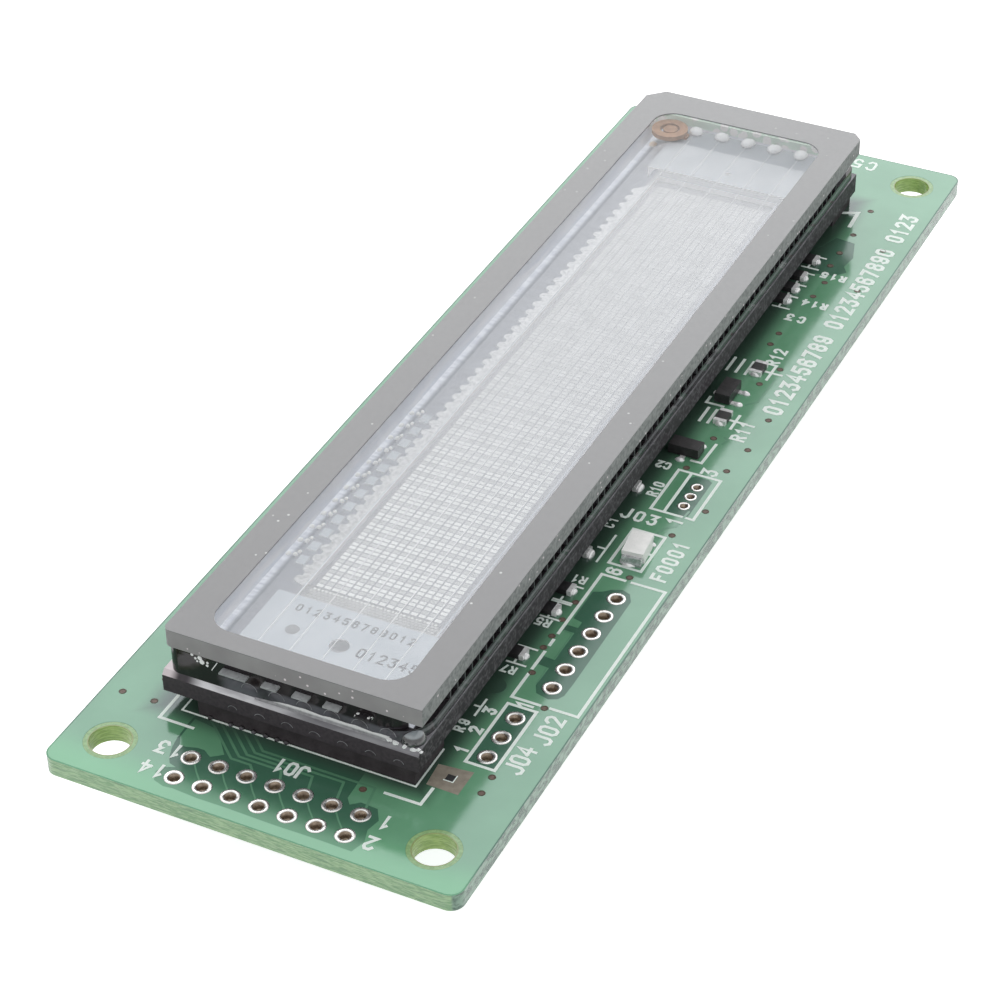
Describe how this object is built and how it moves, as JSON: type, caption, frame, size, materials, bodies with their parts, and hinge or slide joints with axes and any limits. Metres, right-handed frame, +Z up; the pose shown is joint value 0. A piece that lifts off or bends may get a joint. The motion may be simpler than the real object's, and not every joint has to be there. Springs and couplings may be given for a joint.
{
  "type": "display circuit board",
  "caption": "Vacuum fluorescent dot display: a long glass package with a grey border on a green circuit board with corner holes, solder pads and small chips.",
  "frame": {"origin": "centre of the mounting hole pattern on the underside of the board", "axes": "+X along the board away from the header end, +Y across it away from the row of supply holes, +Z up out of the display face"},
  "size_m": [0.116, 0.037, 0.0151],
  "materials": {
    "solder_mask": "semi-gloss green solder mask over glass fibre board",
    "tin": "bright tin",
    "silver_sheet": "dull silver sheet",
    "black_rubber": "black foam rubber",
    "dark_glass": "polished dark glass",
    "black_seal": "black glassy frit",
    "clear_glass": "polished clear glass",
    "border_grey": "matte grey print",
    "anode_floor": "pale smooth coating",
    "phosphor": "white powder coating",
    "pale_print": "pale print",
    "inner_sheet": "bright thin sheet",
    "filament_wire": "fine coated wire",
    "getter_metal": "brown baked coating",
    "lead_metal": "plated lead metal",
    "fuse_ceramic": "off-white ceramic",
    "chip_black": "black moulding",
    "can_metal": "bright aluminium",
    "base_black": "black moulding",
    "ferrite": "dark grey ferrite",
    "coil_tape": "yellow tape over copper",
    "resonator_amber": "amber coating",
    "chip_tan": "tan ceramic chip"
  },
  "bodies": {
    "root": {"anode_plate": "anode_floor", "border_print": "border_grey", "can_bases": "base_black", "can_feet": "tin", "cans": "can_metal", "chip_bodies": "chip_black", "chip_ends": "tin", "circuit_board": "solder_mask", "contact_pads": "inner_sheet", "converter_carrier": "base_black", "converter_coil": "coil_tape", "converter_core": "ferrite", "converter_pins": "tin", "corner_bead": "clear_glass", "cushion_pad": "black_rubber", "diode_bodies": "chip_black", "diode_ends": "tin", "display_leads": "lead_metal", "dot_rows": "phosphor", "far_clamps": "filament_wire", "far_support": "inner_sheet", "filaments": "filament_wire", "filter_bodies": "chip_tan", "filter_ends": "tin", "front_glass": "clear_glass", "fuse_body": "fuse_ceramic", "fuse_caps": "tin", "getter_ring": "getter_metal", "grid_frame": "inner_sheet", "lead_stubs": "lead_metal", "memory_body": "chip_black", "memory_leads": "tin", "near_clamps": "filament_wire", "near_support": "inner_sheet", "near_tabs": "silver_sheet", "printed_strip": "pale_print", "processor_body": "chip_black", "processor_leads": "tin", "rear_glass": "dark_glass", "resonator": "resonator_amber", "seal_frame": "black_seal", "switch_body": "chip_black", "switch_tabs": "tin", "transistor_bodies": "chip_black", "transistor_feet": "tin"}
  },
  "joints": []
}
